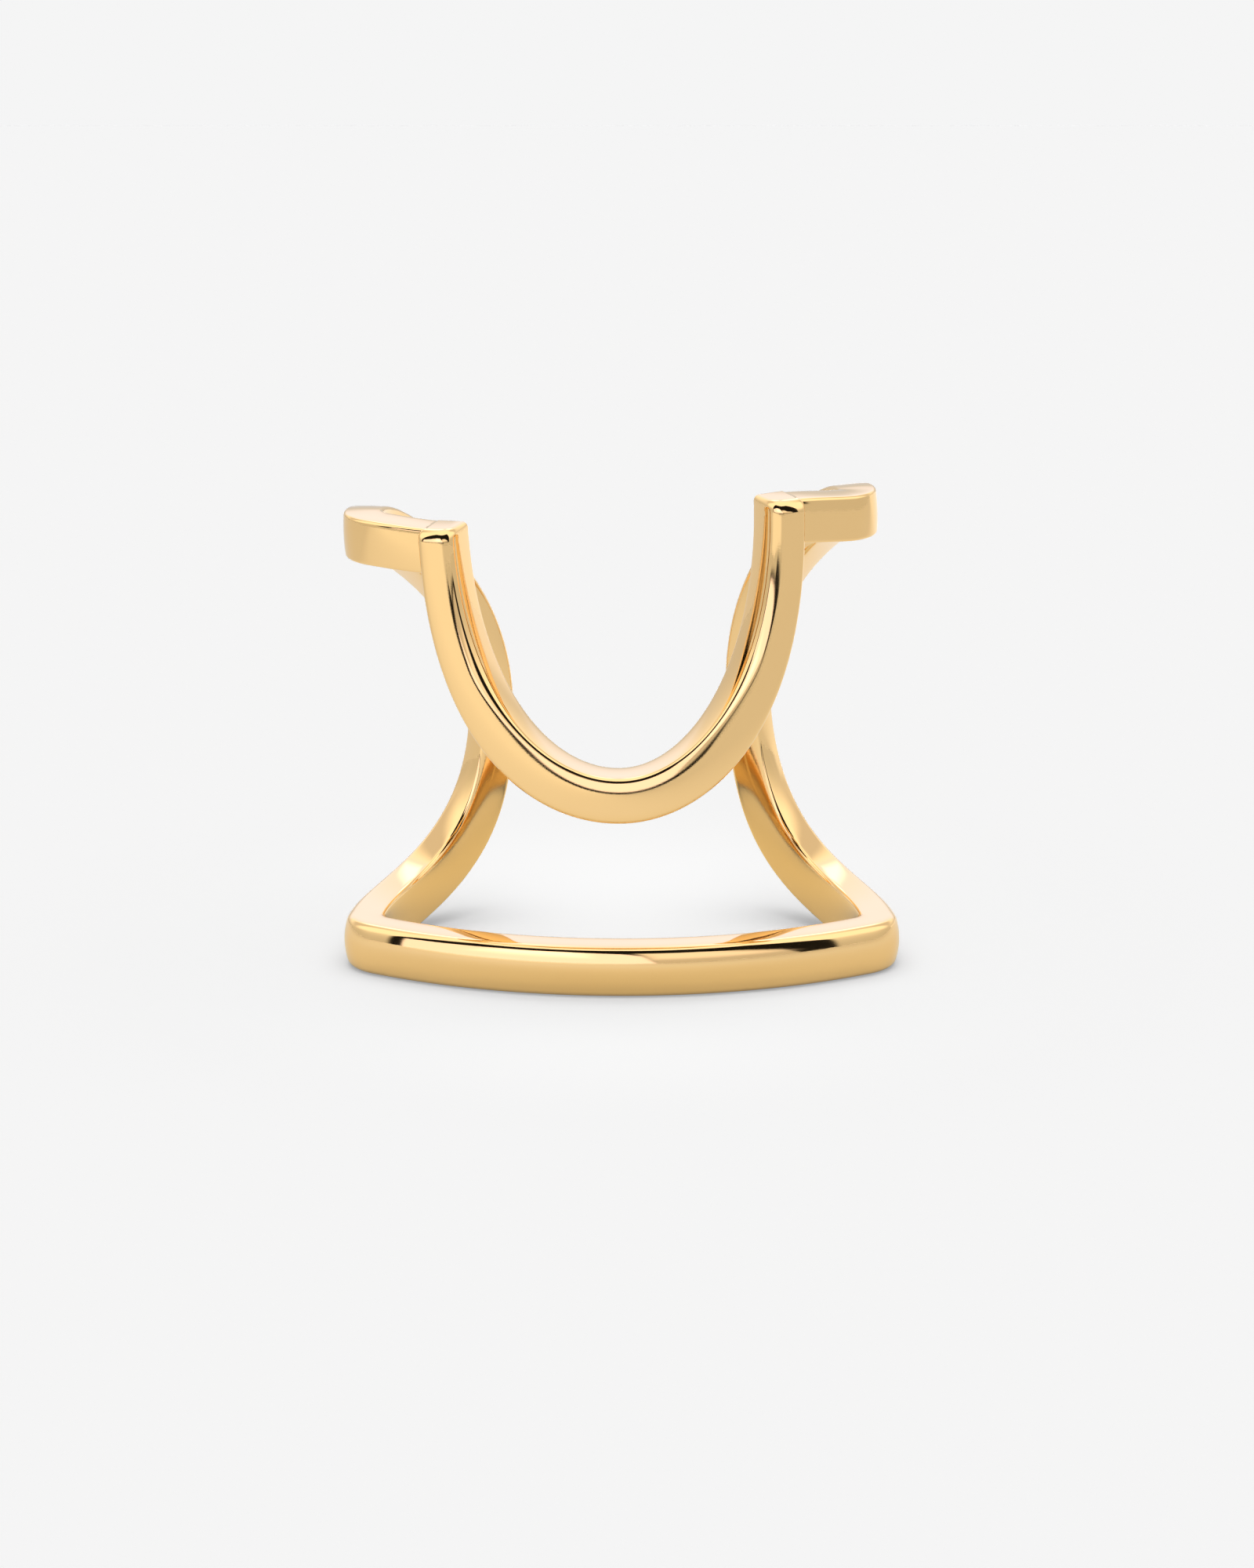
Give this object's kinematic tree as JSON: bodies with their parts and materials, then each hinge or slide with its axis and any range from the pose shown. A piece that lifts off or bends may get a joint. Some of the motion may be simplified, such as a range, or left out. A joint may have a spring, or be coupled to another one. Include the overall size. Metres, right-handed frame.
{
  "type": "nail ring",
  "caption": "Open fingertip ring: a polished gold bar bent round the finger's end into a U-shaped frame for the nail, a level lower band and curved back legs.",
  "frame": {"origin": "on the ground under the middle of the ring's box", "axes": "+Z along the finger towards its tip, -Y towards the nail side, +X to the right as the nail side is looked at"},
  "size_m": [0.0196, 0.012, 0.0176],
  "materials": {
    "gold": "polished"
  },
  "bodies": {
    "root": {"ring_band": "gold"}
  },
  "joints": []
}
